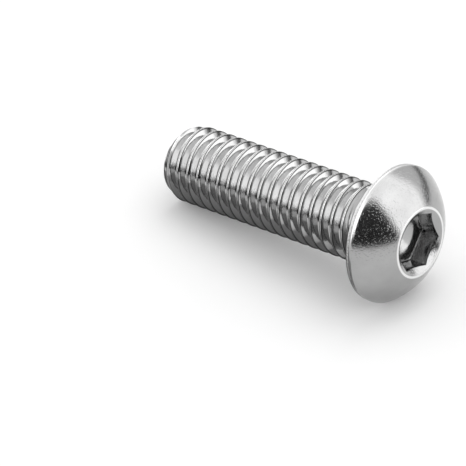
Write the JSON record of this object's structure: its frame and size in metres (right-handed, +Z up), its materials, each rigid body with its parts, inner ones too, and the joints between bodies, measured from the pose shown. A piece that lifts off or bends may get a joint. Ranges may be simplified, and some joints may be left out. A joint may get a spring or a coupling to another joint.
{
  "type": "machine screw",
  "caption": "Stainless steel machine screw with a low domed button head, a hexagon socket and a fully threaded shank, lying at rest.",
  "frame": {"origin": "centre of the bearing face under the head, on the screw's axis", "axes": "+X from the tip to the head as seen from above, +Z up as the screw lies; the axis slopes down 6.8 degrees towards the tip at -X"},
  "size_m": [0.0233, 0.0104, 0.0105],
  "materials": {
    "stainless_steel": "bright satin stainless steel, finely grained on the dome and rim, rolled smooth in the thread"
  },
  "bodies": {
    "root": {"screw": "stainless_steel"}
  },
  "joints": []
}
